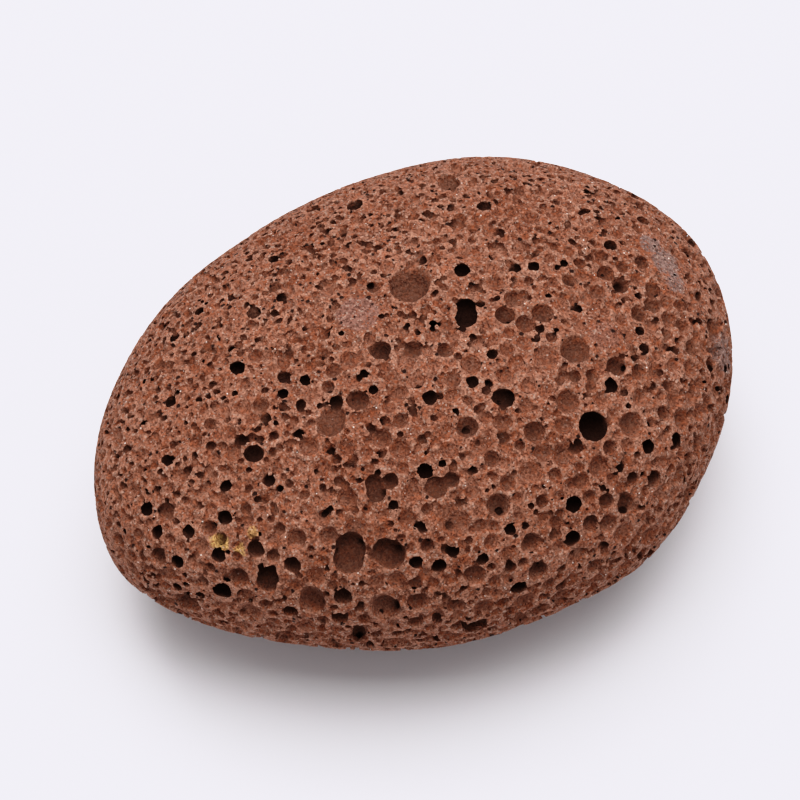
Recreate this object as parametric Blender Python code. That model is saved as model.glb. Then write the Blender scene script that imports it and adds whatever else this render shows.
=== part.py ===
"""A pumice stone: one lump of reddish-brown lava foam, worn to the shape of an egg.

Lengths are in metres. The long axis of the stone runs along X, with the blunt
end at +X, and Z is up. The origin is the middle of the underside of the
stone's box, on the surface that the stone rests on.
"""

import math
import random
from collections import namedtuple

import bpy
from mathutils import Matrix, Vector, noise
from mathutils.bvhtree import BVHTree

MM = 0.001

# The stone's box
LENGTH = 100 * MM
WIDTH = 75 * MM
HEIGHT = 45 * MM
WORN_FLAT_DEPTH = 0.7 * MM  # ground off the underside, where the stone lies

# The lump before its swells: a superellipsoid, larger at the blunt end. An
# exponent of 2 gives an ellipse, less gives straighter sides, more gives fuller ones.
PLAN_EXPONENT = 1.8
SECTION_EXPONENT = 2.4
WIDTH_TAPER = 0.08
HEIGHT_TAPER = 0.04
LUMP_LEVELS = 5

# Broad swells and hollows of the skin, in degrees as seen from the middle of
# the lump: azimuth from +X toward +Y, elevation from the level, and spread.
Swell = namedtuple("Swell", "name azimuth elevation spread height")
SWELLS = (
    Swell("back_shoulder", 135, 0, 38, 2.0 * MM),
    Swell("back_hollow", 90, 10, 35, -2.0 * MM),
    Swell("narrow_end_hollow", 205, -15, 30, -2.5 * MM),
    Swell("front_undercut", 285, -30, 38, -2.0 * MM),
    Swell("front_knuckle", 293, -5, 18, 1.0 * MM),
    Swell("blunt_end_bulge", 315, 0, 38, 3.5 * MM),
    Swell("blunt_end_dent", 316, 0, 18, -1.0 * MM),
)

# Shallow unevenness left by wear
Ripple = namedtuple("Ripple", "wavelength height")
RIPPLES = (Ripple(16 * MM, 0.30 * MM), Ripple(7 * MM, 0.12 * MM))

# The largest open bubbles of the upper skin. x and y give the middle of the
# mouth in plan, across is the width of the mouth, and depth is taken along
# the skin's normal. A bubble deeper than half its width is undercut.
Vesicle = namedtuple("Vesicle", "name x y across depth")
LARGE_VESICLES = (
    Vesicle("crown_dish", 4 * MM, 8 * MM, 5.6 * MM, 2.0 * MM),
    Vesicle("crown_well", 8 * MM, 0 * MM, 2.8 * MM, 3.2 * MM),
    Vesicle("crown_hole", 5 * MM, -15 * MM, 2.8 * MM, 2.6 * MM),
    Vesicle("blunt_end_cave", 14 * MM, -24 * MM, 4.2 * MM, 4.4 * MM),
    Vesicle("blunt_end_dish", 18 * MM, -13 * MM, 4.2 * MM, 1.6 * MM),
    Vesicle("back_dish", 19 * MM, 23 * MM, 3.0 * MM, 1.8 * MM),
    Vesicle("narrow_end_cup", -17 * MM, -5 * MM, 3.6 * MM, 2.0 * MM),
    Vesicle("narrow_end_hole", -29 * MM, -3 * MM, 2.4 * MM, 2.4 * MM),
    Vesicle("narrow_end_cave", -35 * MM, -17 * MM, 3.0 * MM, 3.0 * MM),
    Vesicle("front_cave", -24 * MM, -21 * MM, 4.2 * MM, 3.2 * MM),
    Vesicle("front_cup", -20 * MM, -24 * MM, 4.0 * MM, 2.6 * MM),
    Vesicle("front_hole", -17 * MM, -16 * MM, 2.6 * MM, 2.2 * MM),
    Vesicle("front_saucer", -10 * MM, -25 * MM, 4.8 * MM, 1.2 * MM),
    Vesicle("rim_saucer", -23 * MM, -28 * MM, 4.4 * MM, 1.5 * MM),
    Vesicle("rim_cup", -31 * MM, -22 * MM, 3.8 * MM, 1.7 * MM),
)

# The other open bubbles, spread over the flanks and the underside
FLANK_VESICLES = 22
FLANK_TOP = 26 * MM  # none of them opens higher than this
FLANK_WIDTHS = (2.4 * MM, 4.4 * MM)
FLANK_DEPTH_SHARES = (0.35, 0.85)  # depth over width
WALL_BETWEEN = 1.2 * MM  # the least stone left between two mouths
SEED = 11

# Cutters: how finely the balls that open the bubbles are divided, and how
# thick the block is that wears the underside flat
BUBBLE_LEVELS = 2
WIDE_BUBBLE_LEVELS = 3
WIDE_BUBBLE = 5 * MM  # wider mouths than this get the finer ball
GROUND_BLOCK_HEIGHT = 10 * MM

STONE_COLOUR = (0.216, 0.087, 0.056, 1.0)
STONE_ROUGHNESS = 0.9


def clear_scene():
    """Remove every object from the scene."""
    for item in list(bpy.data.objects):
        bpy.data.objects.remove(item, do_unlink=True)


def new_collection(name):
    """Make a collection and link it to the scene."""
    collection = bpy.data.collections.new(name)
    bpy.context.scene.collection.children.link(collection)
    return collection


def move_to(item, collection):
    """Put an object in one collection and take it out of all others."""
    for home in list(item.users_collection):
        home.objects.unlink(item)
    collection.objects.link(item)


def stone_material():
    """Matt, rusty brown lava."""
    material = bpy.data.materials.new("reddish_brown_lava")
    material.use_nodes = True
    material.diffuse_color = STONE_COLOUR
    shader = material.node_tree.nodes["Principled BSDF"]
    shader.inputs["Base Color"].default_value = STONE_COLOUR
    shader.inputs["Roughness"].default_value = STONE_ROUGHNESS
    shader.inputs["Metallic"].default_value = 0.0
    return material


def ico_sphere(name, levels, collection):
    """A smooth-shaded icosphere of radius 1 at the origin."""
    bpy.ops.mesh.primitive_ico_sphere_add(subdivisions=levels, radius=1.0)
    ball = bpy.context.object
    ball.name = name
    ball.data.name = name
    ball.data.shade_smooth()
    move_to(ball, collection)
    return ball


def unit_direction(azimuth, elevation):
    """Unit vector for two angles in degrees."""
    turn, rise = math.radians(azimuth), math.radians(elevation)
    level = math.cos(rise)
    return Vector((math.cos(turn) * level, math.sin(turn) * level, math.sin(rise)))


def swell_height(direction):
    """Height of all swells together, in one direction from the middle."""
    height = 0.0
    for swell in SWELLS:
        angle = math.degrees(direction.angle(unit_direction(swell.azimuth, swell.elevation)))
        height += swell.height * math.exp(-(angle / swell.spread) ** 2)
    return height


def ripple_height(point):
    """Height of the wear ripples at a point of the skin."""
    return sum(ripple.height * noise.noise(point / ripple.wavelength) for ripple in RIPPLES)


def skin_point(ball_point, half):
    """Where a point of the unit ball lies on the skin of the lump."""
    direction = Vector(part * size for part, size in zip(ball_point, half)).normalized()
    along, across, up = (abs(part / size) for part, size in zip(direction, half))
    plan = (along ** PLAN_EXPONENT + across ** PLAN_EXPONENT) ** (SECTION_EXPONENT / PLAN_EXPONENT)
    point = direction / (plan + up ** SECTION_EXPONENT) ** (1 / SECTION_EXPONENT)
    toward_blunt_end = point.x / half.x
    point.y *= 1 + WIDTH_TAPER * toward_blunt_end
    point.z *= 1 + HEIGHT_TAPER * toward_blunt_end
    point += direction * swell_height(direction)
    return point + direction * ripple_height(point)


def box_of(mesh):
    """Lowest and highest corners of a mesh."""
    columns = list(zip(*(vertex.co for vertex in mesh.vertices)))
    return Vector(map(min, columns)), Vector(map(max, columns))


def fit_to_box(mesh, half):
    """Stretch a mesh to the stone's box, with its lowest point one worn flat below the ground."""
    low, high = box_of(mesh)
    stretch = Matrix.Diagonal(2 * size / (top - bottom) for size, top, bottom in zip(half, high, low))
    lift = Vector((0, 0, half.z - WORN_FLAT_DEPTH))
    mesh.transform(Matrix.Translation(lift) @ stretch.to_4x4() @ Matrix.Translation(-(low + high) / 2))


def make_lump(collection):
    """The whole lump, with no bubbles opened yet."""
    half = Vector((LENGTH, WIDTH, HEIGHT + WORN_FLAT_DEPTH)) / 2
    lump = ico_sphere("pumice_stone", LUMP_LEVELS, collection)
    for vertex in lump.data.vertices:
        vertex.co = skin_point(vertex.co, half)
    fit_to_box(lump.data, half)
    lump.data.materials.append(stone_material())
    return lump


def add_bubble(vesicle, mouth, normal, collection):
    """A ball that leaves the vesicle's mouth and depth when it is cut from the skin."""
    radius = ((vesicle.across / 2) ** 2 + vesicle.depth ** 2) / (2 * vesicle.depth)
    levels = WIDE_BUBBLE_LEVELS if vesicle.across > WIDE_BUBBLE else BUBBLE_LEVELS
    ball = ico_sphere(vesicle.name, levels, collection)
    centre = mouth + normal * (radius - vesicle.depth)
    ball.data.transform(Matrix.Translation(centre) @ Matrix.Scale(radius, 4))
    return ball


def open_large_vesicles(skin, collection):
    """Set the named bubbles into the upper skin; return each mouth's middle and width."""
    mouths = []
    for vesicle in LARGE_VESICLES:
        above = Vector((vesicle.x, vesicle.y, 2 * HEIGHT))
        mouth, normal, _, _ = skin.ray_cast(above, Vector((0, 0, -1)))
        add_bubble(vesicle, mouth, normal, collection)
        mouths.append((mouth, vesicle.across))
    return mouths


def has_room(mouth, across, mouths):
    """True where a new mouth leaves enough stone between it and the others."""
    return all((mouth - other).length > (across + width) / 2 + WALL_BETWEEN for other, width in mouths)


def open_flank_vesicles(skin, mouths, collection):
    """Scatter the smaller bubbles over the flanks and the underside."""
    draw = random.Random(SEED)
    middle = Vector((0, 0, HEIGHT / 2))
    opened = 0
    while opened < FLANK_VESICLES:
        direction = unit_direction(draw.uniform(0, 360), math.degrees(math.asin(draw.uniform(-1, 1))))
        across = draw.uniform(*FLANK_WIDTHS)
        depth = across * draw.uniform(*FLANK_DEPTH_SHARES)
        mouth, normal, _, _ = skin.ray_cast(middle, direction)
        on_worn_flat = mouth.z < across
        if on_worn_flat or mouth.z > FLANK_TOP or not has_room(mouth, across, mouths):
            continue
        opened += 1
        vesicle = Vesicle(f"flank_vesicle_{opened:02d}", mouth.x, mouth.y, across, depth)
        add_bubble(vesicle, mouth, normal, collection)
        mouths.append((mouth, across))


def add_ground_block(collection):
    """A block just under the ground, which wears the underside flat."""
    bpy.ops.mesh.primitive_cube_add(size=1.0)
    block = bpy.context.object
    block.name = "worn_flat"
    place = Matrix.Translation((0, 0, -GROUND_BLOCK_HEIGHT / 2))
    block.data.transform(place @ Matrix.Diagonal((LENGTH, WIDTH, GROUND_BLOCK_HEIGHT, 1)))
    move_to(block, collection)


def cut_all(stone, collection):
    """Cut every object of a collection from the stone."""
    for cutter in collection.objects:
        cutter.hide_render = True
        cutter.display_type = "WIRE"
    cut = stone.modifiers.new("open_vesicles", "BOOLEAN")
    cut.operation = "DIFFERENCE"
    cut.solver = "EXACT"
    cut.operand_type = "COLLECTION"
    cut.collection = collection


def build():
    """Model the stone."""
    clear_scene()
    parts = new_collection("pumice_stone")
    cutters = new_collection("cutters")
    stone = make_lump(parts)
    skin = BVHTree.FromObject(stone, bpy.context.evaluated_depsgraph_get())
    mouths = open_large_vesicles(skin, cutters)
    open_flank_vesicles(skin, mouths, cutters)
    add_ground_block(cutters)
    cut_all(stone, cutters)


build()
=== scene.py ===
"""The finish of a worn lava pumice stone: foam of open bubbles, rusty brown grit, dusty rims that partly
carry a painted highlight, and painted shade in its pits and pinholes.
"""

import math
from collections import namedtuple

import bmesh
import bpy
import numpy as np
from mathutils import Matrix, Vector
from mathutils.bvhtree import BVHTree


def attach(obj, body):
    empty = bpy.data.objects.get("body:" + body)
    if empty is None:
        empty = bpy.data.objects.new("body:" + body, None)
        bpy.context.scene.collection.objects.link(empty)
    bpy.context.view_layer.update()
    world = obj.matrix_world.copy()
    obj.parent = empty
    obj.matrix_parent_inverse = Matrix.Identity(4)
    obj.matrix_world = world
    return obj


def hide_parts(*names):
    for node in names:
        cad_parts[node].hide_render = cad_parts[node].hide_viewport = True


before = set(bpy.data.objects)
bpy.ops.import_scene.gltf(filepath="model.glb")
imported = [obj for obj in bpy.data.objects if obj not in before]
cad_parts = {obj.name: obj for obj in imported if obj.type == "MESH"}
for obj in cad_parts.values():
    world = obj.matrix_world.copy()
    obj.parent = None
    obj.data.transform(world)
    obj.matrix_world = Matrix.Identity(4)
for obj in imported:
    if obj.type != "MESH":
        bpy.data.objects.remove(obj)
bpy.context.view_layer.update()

MM = 0.001

# ---- Camera: how the stone is looked at ---------------------------------------
PICTURE = 800  # pixels along each side
CAMERA_AZIMUTH = -32.2  # degrees; 0 looks along +Y
CAMERA_ELEVATION = 60.0
CAMERA_DISTANCE = 450 * MM
FOCAL_PIXELS = 3049.0
SENSOR_WIDTH = 36.0  # millimetres of film
PIVOT_HEIGHT = 22 * MM  # the camera's distance is counted from this far above the ground
PIVOT_PIXEL = (417.6, 413.0)
CLIP = (0.01, 10.0)  # metres in front of the camera that are drawn

# ---- Mesh -------------------------------------------------------------------------
WELD = 0.001 * MM  # points nearer than this are one
VOXEL = 0.2 * MM
ROUGH_VOXEL = 0.4 * MM  # only for finding room between bubbles
SEEN_TRIANGLES = 150_000  # on the side that faces the camera
HIDDEN_TRIANGLES = 46_000
SEEN_EDGE = -0.12  # least cosine between a seen face and the way back to the camera
HALF_SIZE = np.array((50, 37.5, 22.5)) * MM  # of an even egg with the stone's length, width and height
SHARP_ANGLE = 55  # degrees
# Ways out of the stone that are tried from each vertex: rise above the skin, and turns at that rise.
SKY_TURNS = ((90, (0,)), (62, (20, 92, 164, 236, 308)), (35, (0, 60, 120, 180, 240, 300)))
RAY_START = 0.05 * MM
RAY_REACH = 14 * MM
OPENNESS_BLUR = 2
MENDINGS = 6  # rounds of cutting out crossed edges and closing the gaps
SEED = 5

# ---- Foam -------------------------------------------------------------------------
# How deep a bubble lies, as its depth over half the width of its mouth. One that
# is deeper than it is wide closes in behind its mouth and looks black.
DISH, BOWL, POT, WELL, SHAFT, CAVE = 0.6, 1.05, 1.3, 1.7, 2.2, 2.8

# The named bubbles, which give this stone its face: pixel of the mouth's middle, width of
# the mouth in pixels, and how deep it lies.
Bubble = namedtuple("Bubble", "x y across depth")
FACE_BUBBLES = (
    Bubble(408, 285, 40, BOWL), Bubble(594, 424, 30, POT), Bubble(331, 424, 27, BOWL),
    Bubble(350, 560, 31, POT), Bubble(356, 558, 13, CAVE), Bubble(393, 555, 29, POT),
    Bubble(447, 182, 22, POT), Bubble(466, 315, 20, CAVE), Bubble(353, 205, 16, SHAFT),
    Bubble(311, 209, 13, SHAFT), Bubble(237, 369, 14, CAVE), Bubble(305, 381, 10, CAVE),
    Bubble(283, 395, 10, CAVE), Bubble(373, 390, 9, CAVE), Bubble(336, 402, 13, SHAFT),
    Bubble(256, 455, 17, BOWL), Bubble(380, 350, 20, WELL), Bubble(280, 298, 9, CAVE),
    Bubble(272, 260, 10, CAVE), Bubble(173, 339, 10, CAVE), Bubble(198, 313, 9, CAVE),
    Bubble(253, 314, 14, WELL), Bubble(170, 404, 10, CAVE), Bubble(323, 469, 22, DISH),
    Bubble(533, 265, 10, CAVE), Bubble(563, 261, 7, CAVE), Bubble(460, 269, 14, CAVE),
    Bubble(482, 205, 14, WELL), Bubble(513, 297, 20, BOWL), Bubble(542, 311, 22, BOWL),
    Bubble(504, 313, 20, POT), Bubble(575, 348, 30, BOWL), Bubble(546, 356, 28, DISH),
    Bubble(501, 396, 18, WELL), Bubble(430, 397, 14, SHAFT), Bubble(472, 381, 11, SHAFT),
    Bubble(611, 382, 12, CAVE), Bubble(639, 311, 18, POT), Bubble(639, 329, 9, CAVE),
    Bubble(644, 346, 10, SHAFT), Bubble(642, 218, 13, WELL), Bubble(609, 243, 12, SHAFT),
    Bubble(649, 444, 13, CAVE), Bubble(677, 437, 13, CAVE), Bubble(664, 411, 15, POT),
    Bubble(426, 470, 14, CAVE), Bubble(452, 479, 15, WELL), Bubble(268, 584, 20, WELL),
    Bubble(240, 580, 22, BOWL), Bubble(224, 593, 17, CAVE), Bubble(294, 566, 16, WELL),
    Bubble(257, 551, 17, WELL), Bubble(220, 557, 14, SHAFT), Bubble(179, 564, 12, CAVE),
    Bubble(148, 511, 12, CAVE), Bubble(158, 534, 12, SHAFT), Bubble(190, 533, 12, SHAFT),
    Bubble(226, 519, 15, WELL), Bubble(377, 492, 19, WELL), Bubble(391, 481, 15, WELL),
    Bubble(345, 598, 18, WELL), Bubble(314, 604, 28, BOWL), Bubble(319, 608, 10, CAVE),
    Bubble(388, 610, 30, BOWL), Bubble(342, 619, 16, WELL), Bubble(292, 613, 15, WELL),
    Bubble(575, 502, 16, CAVE), Bubble(608, 499, 16, POT), Bubble(575, 537, 13, CAVE),
    Bubble(512, 528, 10, CAVE), Bubble(521, 586, 14, CAVE), Bubble(533, 542, 22, BOWL),
    Bubble(500, 504, 24, BOWL), Bubble(456, 523, 32, DISH), Bubble(420, 603, 23, BOWL),
    Bubble(477, 575, 22, BOWL), Bubble(540, 570, 22, BOWL), Bubble(597, 564, 19, BOWL),
    Bubble(441, 565, 14, SHAFT), Bubble(418, 562, 12, SHAFT), Bubble(455, 552, 9, CAVE),
    Bubble(485, 558, 10, CAVE), Bubble(437, 487, 22, POT), Bubble(414, 493, 24, DISH),
    Bubble(592, 521, 16, POT), Bubble(625, 531, 25, DISH), Bubble(656, 477, 16, WELL),
    Bubble(634, 476, 13, WELL), Bubble(535, 430, 22, BOWL),
)

# The rest of the foam: first two kinds of deep pit, then open bubbles from the widest to
# the finest. Least and most are the radii of a kind. Its middles keep a spacing apart, and
# crowd is how many there may be on a square millimetre. Low and high are how far a middle
# stands out of the skin, as a share of the radius. Coarse is how much the kind favours the
# front of the stone, or with a minus sign its back.
Foam = namedtuple("Foam", "least most spacing crowd low high coarse")
FOAM = (
    Foam(0.7 * MM, 1.1 * MM, 3.2 * MM, 0.020, -0.86, -0.66, 0.8),
    Foam(0.38 * MM, 0.66 * MM, 1.35 * MM, 0.75, -0.9, -0.4, -0.8),
    Foam(1.7 * MM, 2.3 * MM, 4.0 * MM, 0.06, 0.0, 0.5, 1.0),
    Foam(1.15 * MM, 1.6 * MM, 2.3 * MM, 0.50, -0.3, 0.45, 0.97),
    Foam(1.1 * MM, 1.5 * MM, 2.3 * MM, 0.50, -0.3, 0.45, 1.0),
    Foam(0.8 * MM, 1.1 * MM, 1.55 * MM, 1.50, -0.4, 0.45, 0.75),
    Foam(0.75 * MM, 1.05 * MM, 1.55 * MM, 1.50, -0.4, 0.45, 0.9),
    Foam(0.5 * MM, 0.75 * MM, 1.05 * MM, 3.00, -0.8, 0.4, 0.1),
    Foam(0.3 * MM, 0.42 * MM, 0.75 * MM, 1.60, -0.9, 0.0, -0.4),
)
THROAT = Foam(0.4 * MM, 0.75 * MM, 2.6 * MM, 0.06, -0.8, -0.2, 0.0)  # holes in the walls of bubbles
KIND_STEP = 10  # between the seeds of two kinds
THROAT_SEED, SATELLITE_SEED = 80, 90
WALL_SHARE = 0.85  # least distance between two bubbles, as a share of their radii together
NAMED_WALL_SHARE = 1.05  # the same between a drawn bubble and a named one
SATELLITE_SHIFT = 0.22  # a second ball beside each, as a share of its radius
SATELLITE_SHARE = 0.86
WAVES = {  # wavelength and height of the unevenness of bubble walls and of the grit
    "Bubble wave": (2.2 * MM, 0.22 * MM),
    "Bubble ripple": (0.8 * MM, 0.13 * MM),
    "Grit": (0.7 * MM, 0.05 * MM),
}
FINE_END = -20 * MM  # the foam is finest from here back, and coarsest from COARSE_END forward
COARSE_END = 16 * MM
DRIFT_LENGTH = 22 * MM  # fine and coarse run into each other in tongues of this length
DRIFT_REACH = 30 * MM
FRONT = (0.1, -0.9, 0.1)  # which way the foam turns coarser
RIM_BLUR = 7
RIM_HEIGHT = 0.08 * MM  # a rim stands this far proud of the blurred surface

# Patches of another stone: pixel, half width across, colour, how much they show, and
# whether the drawn bubbles keep off them.
Patch = namedtuple("Patch", "x y reach color strength solid")
GREY_LILAC = (0.18, 0.12, 0.11)
GREY_RED = (0.20, 0.092, 0.07)
OCHRE = (0.48, 0.28, 0.10)
PATCHES = (
    Patch(357, 314, 3.1 * MM, GREY_RED, 0.95, True),
    Patch(650, 242, 2.0 * MM, GREY_LILAC, 0.75, True),
    Patch(664, 260, 2.5 * MM, GREY_LILAC, 0.75, True),
    Patch(674, 280, 1.8 * MM, GREY_LILAC, 0.7, True),
    Patch(725, 350, 3.2 * MM, GREY_LILAC, 0.7, False),
    Patch(605, 333, 2.4 * MM, GREY_RED, 0.4, True),
    Patch(221, 545, 1.5 * MM, OCHRE, 1.0, False),
    Patch(241, 552, 1.0 * MM, OCHRE, 0.9, False),
    Patch(254, 534, 1.0 * MM, OCHRE, 0.6, False),
)

# ---- Colours of the lava ----------------------------------------------------------
BROWN = (0.158, 0.051, 0.027)
PINK_BROWN = (0.264, 0.112, 0.073)
RUST = (0.26, 0.068, 0.027)
# lighter on sharp rims: worn dust, and partly a painted highlight
DUST_AND_HIGHLIGHT = (0.40, 0.215, 0.155)
# the pit walls' own duller brown, and partly painted shade in the hollows
PIT_BROWN_AND_SHADE = (0.105, 0.044, 0.028)
GLINT = (0.85, 0.72, 0.64)
# painted shade: the near-black of deep holes and pinholes, where little light reaches
HOLE_SHADE = (0.020, 0.005, 0.002)
DARK_GRIT = (0.36, 0.26, 0.22)  # the dark and light crystals multiply what is under them
LIGHT_GRIT = (1.60, 1.62, 1.58)
RUST_GRIT = (0.30, 0.075, 0.028)
PALE_GRIT = (0.50, 0.34, 0.27)
FLOOR = (0.87, 0.865, 0.895)

# ---- Grain of the lava ------------------------------------------------------------
# Wavelengths of the mottling and of the crystals, and spacings of the grains among them.
CLOUD, BLOTCH, RUST_SPOT = 9 * MM, 1.6 * MM, 0.9 * MM
CRYSTAL, CRYSTAL_TONE = 0.25 * MM, 0.30 * MM
CRYSTAL_STIR = (0.4 * MM, 0.1 * MM)  # wavelength and reach of what makes an outline ragged
PINHOLE_STIR = (0.5 * MM, 0.2 * MM)
GLINT_SPACING, PINHOLE_SPACING = 0.7 * MM, 1.1 * MM
GLINT_SHARE, GLINT_SIZE, PINHOLE_SIZE = 0.10, 0.22, 0.36  # sizes as shares of the spacing
SMALLEST_GRAIN = 0.4  # as a share of the largest one
GRAIN_CORE = 0.6  # the full colour starts this far from the middle to the edge
FINE_TONE, CELL_TONE = 0.55, 0.45  # shares of noise and of each cell in a crystal's tone
PATCH_NOISE, PATCH_BITE = 1.1 * MM, 1.6 * MM  # wavelength and depth of the bites in a patch's edge
PATCH_EDGE = (0.9 * MM, 0.4 * MM)  # a patch fades out between these, counted from its reach
GRAIN_NOISE = 0.5 * MM
GRAIN_DETAIL = 3.0
# Each pattern is read at a place of its own in the noise.
BLOTCH_SHIFT, RUST_SHIFT = (0.3, 0, 0), (0, 0.4, 0)
CRYSTAL_SHIFT, PINHOLE_SHIFT = (0, 0, 0.5), (0.2, 0.1, 0)

# A fade turns a pattern's low and high values into a least and a most.
Fade = namedtuple("Fade", "low high least most", defaults=(0.0, 1.0))
HOLLOW = Fade(0.12, 0.6)  # by the depth under the skin in millimetres
# darker toward the pit brown with depth: partly the pits' own colour, partly painted shade
PIT = Fade(0.4, 1.6, 0.0, 0.5)  # the same
# painted shade: the lava turns toward near-black where little of the outside can be seen
DEEP = Fade(0.76, 0.30)  # by the share of the outside that can be seen
HOLE_SHADE_SHARE = 0.94
# how much sharp rims turn to the dust colour, partly a painted highlight
RIM_DUST_AND_HIGHLIGHT = Fade(0.45, 1.0, 0.0, 0.42)
PINK_TONE = Fade(0.36, 0.64)
RUSTY_TONE = Fade(0.50, 0.64, 0.0, 0.5)
LIGHT_TONE = Fade(0.22, 0.78)
RUST_CRYSTALS = Fade(0.14, 0.10, 0.0, 0.55)
PALE_CRYSTALS = Fade(0.90, 0.96, 0.0, 0.5)
PALE_LEFT = Fade(0.0, 1.0, 1.0, 0.4)  # of the pale crystals and the glints, in a hollow
PINHOLES_BY_FOAM = Fade(0.0, 1.0, 0.55, 0.25)  # from fine foam to coarse
PINHOLES_LEFT = Fade(0.0, 1.0, 1.0, 0.2)  # in a hollow
Relief = namedtuple("Relief", "height strength")
GRAIN_RELIEF, CRYSTAL_RELIEF = Relief(0.4 * MM, 0.9), Relief(0.06 * MM, 0.6)
PINHOLE_RELIEF = Relief(0.3 * MM, 1.0)
LAVA_ROUGHNESS, LAVA_GLOSS, FLOOR_ROUGHNESS = 0.92, 0.25, 0.7

# ---- Room -------------------------------------------------------------------------
FLOOR_REACH = 3.0
ROOM_COLOR = (0.97, 0.97, 1.0)
ROOM_STRENGTH = 0.5
LAMP_DISTANCE = 1.2
Softbox = namedtuple("Softbox", "name turn elevation size watts")  # turn: degrees round from the camera
SOFTBOXES = (
    Softbox("key", 180, 81, (1.2, 1.0), 17),
    Softbox("side", 205, 55, (0.5, 0.5), 2.4),
)
FILM_TOE = ((0.0, 0.0), (0.02, 0.012), (0.06, 0.049), (0.12, 0.112), (0.45, 0.45))
FILM_SHOULDER = (  # how red, green and blue are held back where the light is strong
    ((0.75, 0.725), (1.0, 0.835), (1.4, 0.89), (2.0, 0.94)),
    ((0.75, 0.72), (1.0, 0.825), (1.4, 0.88), (2.0, 0.93)),
    ((0.75, 0.735), (1.0, 0.86), (1.4, 0.93), (2.0, 0.97)),
)


def direction(azimuth, elevation):
    """From the stone toward a viewer or a lamp, for two angles in degrees."""
    turn, rise = math.radians(azimuth), math.radians(elevation)
    level = math.cos(rise)
    return Vector((math.sin(turn) * level, -math.cos(turn) * level, math.sin(rise)))


BACK = direction(CAMERA_AZIMUTH, CAMERA_ELEVATION)
RIGHT = direction(CAMERA_AZIMUTH + 90, 0)
UP = BACK.cross(RIGHT)
EYE = Vector((0, 0, PIVOT_HEIGHT)) + BACK * CAMERA_DISTANCE


def sight_line(x, y):
    """Direction from the eye through a pixel of the picture."""
    across = (x - PIVOT_PIXEL[0]) / FOCAL_PIXELS
    down = (y - PIVOT_PIXEL[1]) / FOCAL_PIXELS
    return (RIGHT * across - UP * down - BACK).normalized()


def place(item):
    """Show an object in the scene."""
    bpy.context.scene.collection.objects.link(item)
    return item


def make_camera():
    """A long lens, aimed so that the stone sits in the picture as it should."""
    data = bpy.data.cameras.new("camera")
    data.sensor_width = SENSOR_WIDTH
    data.lens = FOCAL_PIXELS / PICTURE * SENSOR_WIDTH
    data.clip_start, data.clip_end = CLIP
    camera = place(bpy.data.objects.new("camera", data))
    camera.location = EYE
    camera.rotation_mode = "QUATERNION"
    camera.rotation_quaternion = sight_line(PICTURE / 2, PICTURE / 2).to_track_quat("-Z", "Y")
    bpy.context.scene.camera = camera


# ---- Node helpers ---------------------------------------------------------------
def add(tree, kind, inputs=None, **settings):
    """Add a node, set its options, and feed its inputs from values or other sockets."""
    node = tree.nodes.new(kind)
    for name, value in settings.items():
        setattr(node, name, value)
    for key, value in (inputs or {}).items():
        if isinstance(value, bpy.types.NodeSocket):
            tree.links.new(value, node.inputs[key])
        else:
            node.inputs[key].default_value = value
    return node


def math_of(tree, operation, a, b=0.0):
    """Result of one Math node."""
    return add(tree, "ShaderNodeMath", {0: a, 1: b}, operation=operation).outputs[0]


def vector_of(tree, operation, a, b=(0.0, 0.0, 0.0)):
    """Vector result of one Vector Math node."""
    return add(tree, "ShaderNodeVectorMath", {0: a, 1: b}, operation=operation).outputs[0]


def length_of(tree, operation, a, b=(0.0, 0.0, 0.0)):
    """Number that comes out of one Vector Math node."""
    return add(tree, "ShaderNodeVectorMath", {0: a, 1: b}, operation=operation).outputs["Value"]


def scaled(tree, vector, factor):
    """A vector times a number."""
    return add(tree, "ShaderNodeVectorMath", {0: vector, "Scale": factor}, operation="SCALE").outputs[0]


def ramp(tree, value, low, high, to_low=0.0, to_high=1.0):
    """A value stretched between two bounds and held there."""
    bounds = {"Value": value, "From Min": low, "From Max": high, "To Min": to_low, "To Max": to_high}
    return add(tree, "ShaderNodeMapRange", bounds).outputs[0]


def noise(tree, place_in_stone, wavelength, detail=1.0, output=0):
    """A cloudy pattern of one size, which is a number or a socket."""
    fixed = isinstance(wavelength, float)
    scale = 1 / wavelength if fixed else math_of(tree, "DIVIDE", 1.0, wavelength)
    inputs = {"Vector": place_in_stone, "Scale": scale, "Detail": detail}
    return add(tree, "ShaderNodeTexNoise", inputs).outputs[output]


# ---- The skin that the foam is cut from ------------------------------------------
def copy_of_node(name):
    """A welded copy of a CAD node's mesh, not yet in the scene."""
    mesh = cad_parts[name].data.copy()
    work = bmesh.new()
    work.from_mesh(mesh)
    bmesh.ops.remove_doubles(work, verts=work.verts, dist=WELD)
    work.to_mesh(mesh)
    work.free()
    mesh.materials.clear()
    return mesh


def bubble_ball(mouth, normal, half_width, depth):
    """Middle and radius of the ball that opens a mouth of that half width and depth."""
    radius = (half_width ** 2 + depth ** 2) / (2 * depth)
    return mouth + normal * (radius - depth), radius


def skin_of(mesh):
    """The mesh without its hollows, for finding places on it."""
    work = bmesh.new()
    work.from_mesh(mesh)
    found = bmesh.ops.convex_hull(work, input=work.verts)["geom"]
    outer = {item for item in found if isinstance(item, bmesh.types.BMFace)}
    bmesh.ops.delete(work, geom=[face for face in work.faces if face not in outer], context="FACES_ONLY")
    skin = BVHTree.FromBMesh(work)
    work.free()
    return skin


def pixel_on(skin, item):
    """Where the sight line of an item's pixel meets the skin, the slope there, and how far off."""
    where, normal, _, distance = skin.ray_cast(EYE, sight_line(item.x, item.y))
    return where, normal, distance


def face_balls(skin):
    """Balls that open the named bubbles, each where its pixel meets the skin."""
    balls = []
    for bubble in FACE_BUBBLES:
        mouth, normal, distance = pixel_on(skin, bubble)
        half_width = bubble.across / 2 * distance / FOCAL_PIXELS
        balls.append(bubble_ball(mouth, normal, half_width, half_width * bubble.depth))
    return balls


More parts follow.
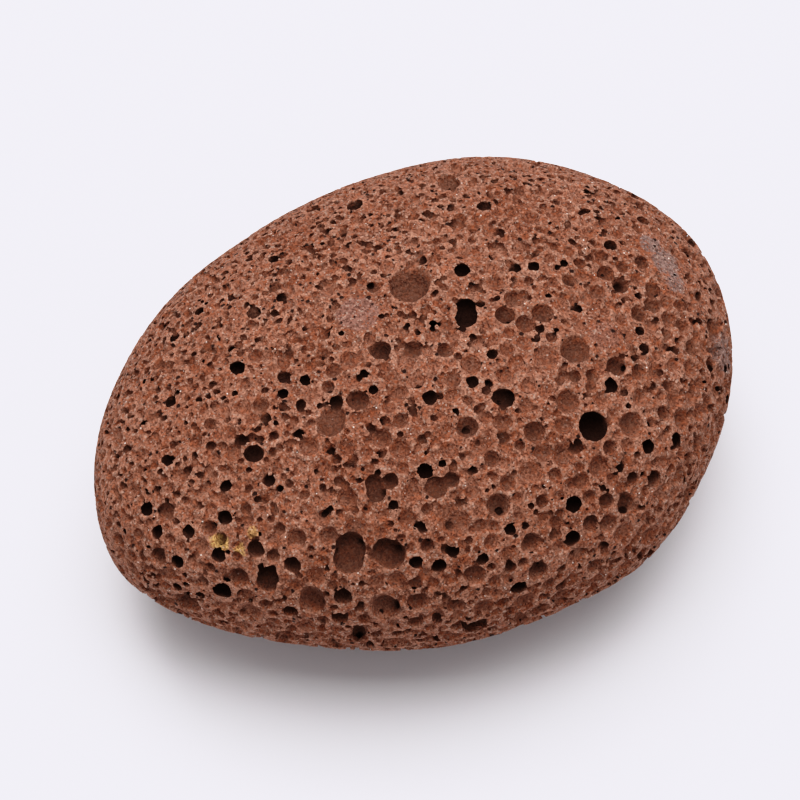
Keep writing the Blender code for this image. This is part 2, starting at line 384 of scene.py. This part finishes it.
def ball_cloud(name, balls, solids):
    """A mesh of loose points that carry the radii of bubbles and of solid patches."""
    mesh = bpy.data.meshes.new(name)
    mesh.from_pydata([centre for centre, _ in balls + solids], [], [])
    radii = mesh.attributes.new("radius", "FLOAT", "POINT")
    radii.data.foreach_set("value", [radius for _, radius in balls + solids])
    kinds = mesh.attributes.new("solid", "FLOAT", "POINT")
    kinds.data.foreach_set("value", [0.0] * len(balls) + [1.0] * len(solids))
    return place(bpy.data.objects.new(name, mesh))


def named(tree, name, kind="FLOAT"):
    """The value of a stored attribute."""
    return add(tree, "GeometryNodeInputNamedAttribute", {"Name": name}, data_type=kind).outputs["Attribute"]


def store(tree, geometry, name, value):
    """Geometry whose points carry one more number."""
    inputs = {"Geometry": geometry, "Name": name, "Value": value}
    node = add(tree, "GeometryNodeStoreNamedAttribute", inputs, data_type="FLOAT", domain="POINT")
    return node.outputs["Geometry"]


def coarseness(tree, given):
    """0 where the foam is fine, 1 where it is coarse: the front is coarser than the back."""
    position = add(tree, "GeometryNodeInputPosition").outputs[0]
    lean = length_of(tree, "DOT_PRODUCT", position, FRONT)
    tongue = math_of(tree, "SUBTRACT", noise(tree, position, given["Drift length"]), 0.5)
    drift = math_of(tree, "MULTIPLY", tongue, given["Drift reach"])
    return ramp(tree, math_of(tree, "ADD", lean, drift), given["Fine end"], given["Coarse end"])


def share_of(tree, given, coarse):
    """How much of a kind of bubble there is from place to place."""
    even = math_of(tree, "SUBTRACT", 1.0, math_of(tree, "MAXIMUM", coarse, 0.0))
    return math_of(tree, "ADD", math_of(tree, "MULTIPLY", coarseness(tree, given), coarse), even)


def random_number(tree, least, most, seed):
    """A number drawn for each point."""
    inputs = {2: least, 3: most, "Seed": seed}
    return add(tree, "FunctionNodeRandomValue", inputs, data_type="FLOAT").outputs[1]


def after(tree, seed, step):
    """A seed some steps on from another."""
    return math_of(tree, "ADD", seed, float(step))


def scatter(tree, given, foam, surface, seed):
    """Ball middles for one kind of bubble over a surface."""
    crowd = math_of(tree, "DIVIDE", foam.crowd, MM ** 2)
    inputs = {
        "Mesh": surface, "Distance Min": foam.spacing, "Density Max": crowd,
        "Density Factor": share_of(tree, given, foam.coarse), "Seed": seed,
    }
    spread = add(tree, "GeometryNodeDistributePointsOnFaces", inputs, distribute_method="POISSON")
    radius = random_number(tree, foam.least, foam.most, after(tree, seed, 1))
    points = store(tree, spread.outputs["Points"], "radius", radius)
    lift = random_number(tree, foam.low, foam.high, after(tree, seed, 2))
    height = math_of(tree, "MULTIPLY", lift, named(tree, "radius"))
    return moved(tree, points, scaled(tree, spread.outputs["Normal"], height))


def moved(tree, geometry, offset):
    """Geometry with every point shifted."""
    return add(tree, "GeometryNodeSetPosition", {"Geometry": geometry, "Offset": offset}).outputs[0]


def join(tree, *parts):
    """Several geometries as one."""
    joined = add(tree, "GeometryNodeJoinGeometry")
    for part in parts:
        tree.links.new(part, joined.inputs[0])
    return joined.outputs[0]


def clear_of(tree, given, points, earlier, wall_share):
    """The points whose balls leave a wall between them and the earlier balls."""
    position = add(tree, "GeometryNodeInputPosition").outputs[0]
    radius = named(tree, "radius")
    nearest = add(tree, "GeometryNodeSampleNearest", {"Geometry": earlier}, domain="POINT").outputs[0]
    there = sampled(tree, earlier, position, nearest, "FLOAT_VECTOR")
    reach = math_of(tree, "ADD", radius, sampled(tree, earlier, radius, nearest, "FLOAT"))
    gap = length_of(tree, "DISTANCE", position, there)
    points = without(tree, points, less(tree, gap, math_of(tree, "MULTIPLY", reach, wall_share)))
    inputs = {"Points": earlier, "Radius": radius, "Voxel Size": given["Rough voxel"]}
    skins = mesh_of_grid(tree, add(tree, "GeometryNodePointsToSDFGrid", inputs).outputs[0])
    gap = add(tree, "GeometryNodeProximity", {0: skins}, target_element="FACES").outputs["Distance"]
    return without(tree, points, less(tree, gap, math_of(tree, "MULTIPLY", radius, wall_share)))


def sampled(tree, geometry, value, index, kind):
    """A value read at one point of another geometry."""
    inputs = {"Geometry": geometry, "Value": value, "Index": index}
    return add(tree, "GeometryNodeSampleIndex", inputs, data_type=kind).outputs[0]


def less(tree, a, b):
    """True where a is below b."""
    inputs = {0: a, 1: b}
    return add(tree, "FunctionNodeCompare", inputs, data_type="FLOAT", operation="LESS_THAN").outputs[0]


def without(tree, geometry, selection):
    """Geometry less the selected points."""
    inputs = {"Geometry": geometry, "Selection": selection}
    return add(tree, "GeometryNodeDeleteGeometry", inputs, domain="POINT").outputs[0]


def with_satellites(tree, given, points):
    """Each ball with a second one that breaks its round outline."""
    index = add(tree, "GeometryNodeInputIndex").outputs[0]
    seed = after(tree, given["Seed"], SATELLITE_SEED)
    inputs = {0: (-1.0, -1.0, -1.0), 1: (1.0, 1.0, 1.0), "ID": index, "Seed": seed}
    way = add(tree, "FunctionNodeRandomValue", inputs, data_type="FLOAT_VECTOR").outputs[0]
    shift = scaled(tree, way, math_of(tree, "MULTIPLY", named(tree, "radius"), given["Satellite shift"]))
    beside = moved(tree, points, shift)
    smaller = math_of(tree, "MULTIPLY", named(tree, "radius"), given["Satellite share"])
    return join(tree, points, store(tree, beside, "radius", smaller))


def warp(tree, given, geometry, wave):
    """Push every point about by a noise, so that nothing stays truly round or flat."""
    position = add(tree, "GeometryNodeInputPosition").outputs[0]
    cloud = noise(tree, position, given[wave + " length"], output="Color")
    push = vector_of(tree, "SUBTRACT", cloud, (0.5, 0.5, 0.5))
    height = math_of(tree, "MULTIPLY", given[wave + " height"], 2.0)
    return moved(tree, geometry, scaled(tree, push, height))


def grid_of_mesh(tree, mesh, voxel):
    """The solid inside a mesh."""
    return add(tree, "GeometryNodeMeshToSDFGrid", {"Mesh": mesh, "Voxel Size": voxel}).outputs[0]


def grid_of_balls(tree, given, points):
    """The solid of warped balls about points, each with a smaller one beside it."""
    points = with_satellites(tree, given, points)
    inputs = {"Points": points, "Radius": named(tree, "radius"), "Voxel Size": given["Voxel"]}
    balls = mesh_of_grid(tree, add(tree, "GeometryNodePointsToSDFGrid", inputs).outputs[0])
    balls = warp(tree, given, warp(tree, given, balls, "Bubble wave"), "Bubble ripple")
    return grid_of_mesh(tree, balls, given["Voxel"])


def mesh_of_grid(tree, grid):
    """The skin of a solid."""
    return add(tree, "GeometryNodeGridToMesh", {"Grid": grid, "Threshold": 0.0}).outputs[0]


def cut(tree, solid, cutter):
    """One solid less another."""
    node = add(tree, "GeometryNodeSDFGridBoolean", operation="DIFFERENCE")
    tree.links.new(solid, node.inputs[0])
    tree.links.new(cutter, node.inputs[1])
    return node.outputs[0]


def largest_piece(tree, geometry):
    """The outer skin alone, without crumbs or sealed bubbles."""
    island = add(tree, "GeometryNodeInputMeshIsland").outputs["Island Index"]
    total = add(tree, "GeometryNodeAccumulateField", {"Value": 1.0, "Group ID": island}, data_type="FLOAT")
    geometry = store(tree, geometry, "piece_size", total.outputs["Total"])
    inputs = {"Geometry": geometry, "Attribute": named(tree, "piece_size")}
    most = add(tree, "GeometryNodeAttributeStatistic", inputs, data_type="FLOAT").outputs["Max"]
    return without(tree, geometry, less(tree, named(tree, "piece_size"), most))


def rim_height(tree, given):
    """1 on sharp rims, 0 on level or hollow surface."""
    position = add(tree, "GeometryNodeInputPosition").outputs[0]
    inputs = {"Value": position, "Iterations": given["Rim blur"]}
    blurred = add(tree, "GeometryNodeBlurAttribute", inputs, data_type="FLOAT_VECTOR").outputs[0]
    normal = add(tree, "GeometryNodeInputNormal").outputs[0]
    proud = length_of(tree, "DOT_PRODUCT", vector_of(tree, "SUBTRACT", position, blurred), normal)
    return ramp(tree, proud, 0.0, given["Rim height"])


def tree_inputs(ball_object, material):
    """Every named input of the foam's tree, with its kind and its value."""
    inputs = {"Bubbles": ("Object", ball_object), "Material": ("Material", material)}
    inputs.update({"Seed": ("Int", SEED), "Rim blur": ("Int", RIM_BLUR)})
    sizes = {
        "Voxel": VOXEL, "Rough voxel": ROUGH_VOXEL, "Rim height": RIM_HEIGHT,
        "Wall share": WALL_SHARE, "Named wall share": NAMED_WALL_SHARE,
        "Satellite shift": SATELLITE_SHIFT, "Satellite share": SATELLITE_SHARE,
        "Fine end": FINE_END, "Coarse end": COARSE_END,
        "Drift length": DRIFT_LENGTH, "Drift reach": DRIFT_REACH,
    }
    for name, (length, height) in WAVES.items():
        sizes.update({name + " length": length, name + " height": height})
    for number, foam in enumerate((*FOAM, THROAT)):
        sizes.update({"%s %d" % (field, number): value for field, value in foam._asdict().items()})
    inputs.update({name: ("Float", value) for name, value in sizes.items()})
    return inputs


def foam_modifier(item, inputs):
    """Give an object the nodes that make the foam, with every named input set."""
    tree = bpy.data.node_groups.new("pumice_foam", "GeometryNodeTree")
    tree.interface.new_socket("Geometry", in_out="INPUT", socket_type="NodeSocketGeometry")
    tree.interface.new_socket("Geometry", in_out="OUTPUT", socket_type="NodeSocketGeometry")
    identifiers = {}
    for name, (kind, _) in inputs.items():
        socket = tree.interface.new_socket(name, in_out="INPUT", socket_type="NodeSocket" + kind)
        identifiers[name] = socket.identifier
    foam_tree(tree)
    modifier = item.modifiers.new("foam", "NODES")
    modifier.node_group = tree
    for name, (_, value) in inputs.items():
        modifier[identifiers[name]] = value


def foam_kind(given, number):
    """The inputs of one kind of bubble."""
    return Foam(*(given["%s %d" % (field, number)] for field in Foam._fields))


def foam_tree(tree):
    """Nodes that cut the foam of bubbles out of the stone."""
    given = tree.nodes.new("NodeGroupInput").outputs
    stone, seed, voxel = given["Geometry"], given["Seed"], given["Voxel"]
    skin = add(tree, "GeometryNodeConvexHull", {"Geometry": stone}).outputs[0]
    marks = add(tree, "GeometryNodeObjectInfo", {"Object": given["Bubbles"]}).outputs["Geometry"]
    inputs = {"Mesh": marks, "Radius": named(tree, "radius")}
    marked = add(tree, "GeometryNodeMeshToPoints", inputs).outputs[0]
    points = marked
    for number in range(len(FOAM)):
        drawn = scatter(tree, given, foam_kind(given, number), skin, after(tree, seed, KIND_STEP * number))
        drawn = clear_of(tree, given, drawn, marked, given["Named wall share"])
        points = join(tree, points, clear_of(tree, given, drawn, points, given["Wall share"]))
    points = without(tree, points, less(tree, 0.5, named(tree, "solid")))
    opened = cut(tree, grid_of_mesh(tree, stone, voxel), grid_of_balls(tree, given, points))
    throat = foam_kind(given, len(FOAM))
    walls = mesh_of_grid(tree, opened)
    throats = scatter(tree, given, throat, walls, after(tree, seed, THROAT_SEED))
    opened = cut(tree, opened, grid_of_balls(tree, given, throats))
    foam = largest_piece(tree, mesh_of_grid(tree, opened))
    depth = add(tree, "GeometryNodeProximity", {0: skin}, target_element="FACES").outputs["Distance"]
    foam = store(tree, foam, "depth", math_of(tree, "DIVIDE", depth, MM))
    foam = store(tree, foam, "rim", rim_height(tree, given))
    foam = store(tree, foam, "coarse", coarseness(tree, given))
    foam = warp(tree, given, foam, "Grit")
    foam = add(tree, "GeometryNodeRealizeInstances", {"Geometry": foam}).outputs[0]
    inputs = {"Geometry": foam, "Material": given["Material"]}
    foam = add(tree, "GeometryNodeSetMaterial", inputs).outputs[0]
    tree.links.new(foam, tree.nodes.new("NodeGroupOutput").inputs[0])


def evaluated_mesh(item):
    """A plain mesh of the object as its modifiers leave it."""
    shown = item.evaluated_get(bpy.context.evaluated_depsgraph_get())
    return bpy.data.meshes.new_from_object(shown)


def become(item):
    """Make the object's modifiers part of its mesh."""
    mesh = evaluated_mesh(item)
    item.modifiers.clear()
    item.data = mesh


def triangle_count(mesh):
    """Triangles in a mesh, with a four-sided face counted as two."""
    return len(mesh.loops) - 2 * len(mesh.polygons)


def array_of(items, name, width):
    """Numbers of a mesh's vertices or edges as rows."""
    values = np.empty(width * len(items), np.float32 if width == 3 else np.int32)
    items.foreach_get(name, values)
    return values.reshape(-1, width)


def outward(places):
    """The slope of an even egg at places near its skin, not yet of length 1."""
    return (np.array(places) - (0, 0, PIVOT_HEIGHT)) / (HALF_SIZE * HALF_SIZE)


def away_from_camera(mesh):
    """True at the vertices the camera never sees, told by the slope of an even egg."""
    slope = outward(array_of(mesh.vertices, "co", 3))
    slope /= np.linalg.norm(slope, axis=1)[:, None]
    return slope @ np.array(BACK) < SEEN_EDGE


def thin_out(item, spared, target):
    """Collapse edges until the mesh has the target's triangles, away from spared vertices."""
    free = item.vertex_groups.new(name="free")
    free.add(np.nonzero(~spared)[0].tolist(), 1.0, "REPLACE")
    thin = item.modifiers.new("thin", "DECIMATE")
    thin.vertex_group = free.name
    thin.ratio = target / triangle_count(item.data)
    become(item)
    item.vertex_groups.clear()


def thin_both_sides(item):
    """Fewer triangles behind than on the side that faces the camera."""
    hidden = away_from_camera(item.data)
    seen_now = int(triangle_count(item.data) * (1 - hidden.mean()))
    thin_out(item, ~hidden, seen_now + HIDDEN_TRIANGLES)
    thin_out(item, away_from_camera(item.data), SEEN_TRIANGLES + HIDDEN_TRIANGLES)


def mend(mesh):
    """Close the few places where the thinned mesh meets itself in an edge."""
    work = bmesh.new()
    work.from_mesh(mesh)
    bmesh.ops.dissolve_degenerate(work, edges=work.edges, dist=WELD)
    bmesh.ops.triangulate(work, faces=work.faces)
    for _ in range(MENDINGS):
        crossed = {vert for edge in work.edges if not edge.is_manifold for vert in edge.verts}
        bmesh.ops.delete(work, geom=list(crossed), context="VERTS")
        gaps = [edge for edge in work.edges if edge.is_boundary]
        filled = bmesh.ops.holes_fill(work, edges=gaps, sides=0)["faces"]
        bmesh.ops.triangulate(work, faces=filled)
    bmesh.ops.delete(work, geom=[vert for vert in work.verts if not vert.link_faces], context="VERTS")
    bmesh.ops.recalc_face_normals(work, faces=work.faces)
    work.to_mesh(mesh)
    work.free()


def stand_on_floor(mesh):
    """Lift what the grit pushed below the floor."""
    places = array_of(mesh.vertices, "co", 3)
    places[:, 2] = np.maximum(places[:, 2], 0.0)
    mesh.vertices.foreach_set("co", places.ravel())
    mesh.update()


def store_openness(mesh):
    """How much of the outside each vertex sees: 1 in the open, 0 deep in a hole."""
    tree = BVHTree.FromPolygons([v.co for v in mesh.vertices], [p.vertices for p in mesh.polygons])
    ways = [direction(turn, rise) for rise, turns in SKY_TURNS for turn in turns]
    places = [v.co.copy() for v in mesh.vertices]
    normals = [v.normal.copy() for v in mesh.vertices]
    open_to = np.zeros(len(places), np.float32)
    for number, (where, normal) in enumerate(zip(places, normals)):
        start = where + normal * RAY_START
        turn = Vector(outward(where)).to_track_quat("Z", "Y")
        seen = sum(tree.ray_cast(start, turn @ way, RAY_REACH)[0] is None for way in ways)
        open_to[number] = seen / len(ways)
    edges = array_of(mesh.edges, "vertices", 2)
    for _ in range(OPENNESS_BLUR):
        total, count = open_to.copy(), np.ones(len(places), np.float32)
        for a, b in ((0, 1), (1, 0)):
            np.add.at(total, edges[:, a], open_to[edges[:, b]])
            np.add.at(count, edges[:, a], 1)
        open_to = total / count
    # the lava's colour takes its painted shade in hollows from this
    mesh.attributes.new("openness", "FLOAT", "POINT").data.foreach_set("value", open_to)


def wear_only(mesh, material):
    """Leave the mesh one material slot, because the nodes put an empty one before it."""
    mesh.materials.clear()
    mesh.materials.append(material)


def carve_stone(skin, patches, material):
    """The stone with its foam of bubbles as one plain mesh."""
    solids = [(where, patch.reach) for where, patch in patches if patch.solid]
    clouds = ball_cloud("face_bubbles", face_balls(skin), solids)
    item = place(bpy.data.objects.new("lava_stone", copy_of_node("pumice_stone")))
    foam_modifier(item, tree_inputs(clouds, material))
    become(item)
    bpy.data.objects.remove(clouds)
    thin_both_sides(item)
    mend(item.data)
    stand_on_floor(item.data)
    wear_only(item.data, material)
    store_openness(item.data)
    item.data.shade_smooth()
    item.data.set_sharp_from_angle(angle=math.radians(SHARP_ANGLE))
    return item


# ---- Lava -----------------------------------------------------------------------
def mix(tree, factor, a, b, blend="MIX"):
    """One colour over another."""
    node = tree.nodes.new("ShaderNodeMix")
    node.data_type = "RGBA"
    node.blend_type = blend
    for index, value in ((0, factor), (6, a), (7, b)):
        if isinstance(value, bpy.types.NodeSocket):
            tree.links.new(value, node.inputs[index])
        elif index == 0:
            node.inputs[0].default_value = value
        else:
            node.inputs[index].default_value = (*value, 1.0)
    return node.outputs[2]


def attribute(tree, name):
    """A stored number of the mesh."""
    return add(tree, "ShaderNodeAttribute", attribute_name=name).outputs["Fac"]


def shifted(tree, coords, offset):
    """The same pattern from another place."""
    return vector_of(tree, "ADD", coords, offset)


def cells(tree, coords, spacing):
    """Cells of one size: how far off the middle is, and three numbers drawn for each cell."""
    cell = add(tree, "ShaderNodeTexVoronoi", {"Vector": coords, "Scale": 1 / spacing})
    drawn = add(tree, "ShaderNodeSeparateColor", {0: cell.outputs["Color"]}).outputs
    return cell.outputs["Distance"], drawn[0], drawn[1], drawn[2]


def grains(tree, coords, spacing, share, size):
    """1 in round grains of uneven size at the middles of a few cells."""
    distance, pick, bulk, _ = cells(tree, coords, spacing)
    chosen = math_of(tree, "LESS_THAN", pick, share)
    edge = ramp(tree, bulk, 0.0, 1.0, size * SMALLEST_GRAIN, size)
    inside = ramp(tree, distance, edge, math_of(tree, "MULTIPLY", edge, GRAIN_CORE))
    return math_of(tree, "MULTIPLY", chosen, inside)


def stirred(tree, coords, wavelength, reach):
    """Coordinates pushed about, so that patterns on them turn ragged."""
    push = vector_of(tree, "SUBTRACT", noise(tree, coords, wavelength, 1.0, "Color"), (0.5, 0.5, 0.5))
    return vector_of(tree, "ADD", coords, scaled(tree, push, 2 * reach))


def product(tree, first, *others):
    """Numbers multiplied together."""
    for other in others:
        first = math_of(tree, "MULTIPLY", first, other)
    return first


def mottled(tree, coords):
    """The matrix in clouds and blotches of brown, pink-brown and rust."""
    cloud = noise(tree, coords, CLOUD, 2.0)
    blotch = noise(tree, shifted(tree, coords, BLOTCH_SHIFT), BLOTCH, 2.0)
    tone = product(tree, math_of(tree, "ADD", cloud, blotch), 0.5)
    color = mix(tree, ramp(tree, tone, *PINK_TONE), BROWN, PINK_BROWN)
    rusty = noise(tree, shifted(tree, coords, RUST_SHIFT), RUST_SPOT, 2.0)
    return mix(tree, ramp(tree, rusty, *RUSTY_TONE), color, RUST)


def gritty(tree, coords, color, hollow):
    """The colour broken into tiny crystals: dark, light, rusty and pale ones."""
    _, pick, tint, other = cells(tree, stirred(tree, coords, *CRYSTAL_STIR), CRYSTAL)
    fine = noise(tree, shifted(tree, coords, CRYSTAL_SHIFT), CRYSTAL_TONE, 2.0)
    tone = math_of(tree, "ADD", product(tree, fine, FINE_TONE), product(tree, tint, CELL_TONE))
    grit = mix(tree, ramp(tree, tone, *LIGHT_TONE), DARK_GRIT, LIGHT_GRIT)
    color = mix(tree, 1.0, color, grit, "MULTIPLY")
    color = mix(tree, ramp(tree, pick, *RUST_CRYSTALS), color, RUST_GRIT)
    left = ramp(tree, hollow, *PALE_LEFT)
    color = mix(tree, product(tree, ramp(tree, other, *PALE_CRYSTALS), left), color, PALE_GRIT)
    glints = grains(tree, coords, GLINT_SPACING, GLINT_SHARE, GLINT_SIZE)
    return mix(tree, product(tree, glints, left), color, GLINT)


def pinholes(tree, coords, coarse, hollow):
    """1 in the smallest holes: many where the foam is fine, few in wide bubbles."""
    ragged = stirred(tree, shifted(tree, coords, PINHOLE_SHIFT), *PINHOLE_STIR)
    share = product(tree, ramp(tree, coarse, *PINHOLES_BY_FOAM), ramp(tree, hollow, *PINHOLES_LEFT))
    return grains(tree, ragged, PINHOLE_SPACING, share, PINHOLE_SIZE)


def bumped(tree, pattern, relief, below=None, dent=False):
    """A slope for small relief, over another slope if there is one."""
    inputs = {"Height": pattern, "Distance": relief.height, "Strength": relief.strength}
    if below:
        inputs["Normal"] = below
    return add(tree, "ShaderNodeBump", inputs, invert=dent).outputs[0]


def with_patch(tree, color, coords, middle, patch):
    """The colour with one patch of another stone, its edge eaten by noise."""
    ragged = math_of(tree, "MULTIPLY", noise(tree, coords, PATCH_NOISE, 2.0), PATCH_BITE)
    reach = math_of(tree, "ADD", length_of(tree, "DISTANCE", coords, tuple(middle)), ragged)
    outside, within = PATCH_EDGE
    inside = ramp(tree, reach, patch.reach + outside, patch.reach + within, 0.0, patch.strength)
    return mix(tree, inside, color, patch.color)


def lava_color(tree, coords, patches, hollow):
    """The lava's colour without its pinholes."""
    # sharp rims lighter: dust, and partly a painted highlight
    rims = ramp(tree, attribute(tree, "rim"), *RIM_DUST_AND_HIGHLIGHT)
    color = mix(tree, rims, mottled(tree, coords), DUST_AND_HIGHLIGHT)
    for middle, patch in patches:
        color = with_patch(tree, color, coords, middle, patch)
    color = gritty(tree, coords, color, hollow)
    # deeper in a pit, darker: partly its own duller brown, partly painted shade
    color = mix(tree, ramp(tree, attribute(tree, "depth"), *PIT), color, PIT_BROWN_AND_SHADE)
    # painted shade in hollows, by how little of the outside each vertex sees
    deep = ramp(tree, attribute(tree, "openness"), *DEEP)
    return mix(tree, product(tree, deep, HOLE_SHADE_SHARE), color, HOLE_SHADE)


def lava_relief(tree, coords, hole):
    """Relief too small for the mesh: grain, crystals and pinholes."""
    slope = bumped(tree, noise(tree, coords, GRAIN_NOISE, GRAIN_DETAIL), GRAIN_RELIEF)
    slope = bumped(tree, cells(tree, coords, CRYSTAL)[2], CRYSTAL_RELIEF, below=slope)
    return bumped(tree, hole, PINHOLE_RELIEF, below=slope, dent=True)


def lava_material(patches):
    """Brown lava: mottled matrix, rusty and pale grains, dusty rims with some painted highlight, and pits
    and pinholes darkened with painted shade.
    """
    material = bpy.data.materials.new("porous_lava")
    material.use_nodes = True
    tree = material.node_tree
    shader = tree.nodes["Principled BSDF"]
    coords = add(tree, "ShaderNodeTexCoord").outputs["Object"]
    hollow = ramp(tree, attribute(tree, "depth"), *HOLLOW)
    hole = pinholes(tree, coords, attribute(tree, "coarse"), hollow)
    # the pinholes are too small for the mesh: their black is painted shade, with a dent in the relief
    color = mix(tree, hole, lava_color(tree, coords, patches, hollow), HOLE_SHADE)
    tree.links.new(color, shader.inputs["Base Color"])
    tree.links.new(lava_relief(tree, coords, hole), shader.inputs["Normal"])
    shader.inputs["Roughness"].default_value = LAVA_ROUGHNESS
    shader.inputs["Specular IOR Level"].default_value = LAVA_GLOSS
    return material


# ---- Room -------------------------------------------------------------------------
def make_floor():
    """A plain pale floor, far wider than the picture."""
    mesh = bpy.data.meshes.new("floor")
    reach = (-FLOOR_REACH, FLOOR_REACH)
    corners = [(reach[0], reach[0]), (reach[1], reach[0]), (reach[1], reach[1]), (reach[0], reach[1])]
    mesh.from_pydata([(x, y, 0) for x, y in corners], [], [(0, 1, 2, 3)])
    material = bpy.data.materials.new("pale_floor")
    material.use_nodes = True
    shader = material.node_tree.nodes["Principled BSDF"]
    shader.inputs["Base Color"].default_value = (*FLOOR, 1.0)
    shader.inputs["Roughness"].default_value = FLOOR_ROUGHNESS
    mesh.materials.append(material)
    floor = place(bpy.data.objects.new("floor", mesh))


def make_room():
    """Even light from all round."""
    world = bpy.data.worlds.new("room")
    bpy.context.scene.world = world
    world.use_nodes = True
    sky = world.node_tree.nodes["Background"]
    sky.inputs["Color"].default_value = (*ROOM_COLOR, 1.0)
    sky.inputs["Strength"].default_value = ROOM_STRENGTH


def add_softbox(softbox):
    """A soft lamp that looks at the stone from a direction."""
    data = bpy.data.lights.new(softbox.name, "AREA")
    data.shape = "RECTANGLE"
    data.size, data.size_y = softbox.size
    data.energy = softbox.watts
    lamp = place(bpy.data.objects.new(softbox.name, data))
    toward = direction(CAMERA_AZIMUTH + softbox.turn, softbox.elevation)
    lamp.location = toward * LAMP_DISTANCE
    lamp.rotation_mode = "QUATERNION"
    lamp.rotation_quaternion = toward.to_track_quat("Z", "Y")


def light_room():
    """The room's light, the lamp over the stone and the one behind it."""
    make_room()
    for softbox in SOFTBOXES:
        add_softbox(softbox)
    expose()


def expose():
    """Film that is true up to the mid tones and holds back the brightest ones."""
    view = bpy.context.scene.view_settings
    view.view_transform = "Standard"
    view.use_curve_mapping = True
    film = view.curve_mapping
    film.clip_max_x = FILM_SHOULDER[0][-1][0]
    for curve, shoulder in zip(film.curves, FILM_SHOULDER):
        response = FILM_TOE + shoulder
        curve.points[0].location = response[0]
        curve.points[1].location = response[-1]
        for point in response[1:-1]:
            curve.points.new(*point)
    film.update()


# ---- Build ------------------------------------------------------------------------
make_camera()
skin = skin_of(copy_of_node("pumice_stone"))
patches = [(pixel_on(skin, patch)[0], patch) for patch in PATCHES]
stone = carve_stone(skin, patches, lava_material(patches))
make_floor()
light_room()
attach(stone, "root")
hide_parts("pumice_stone")
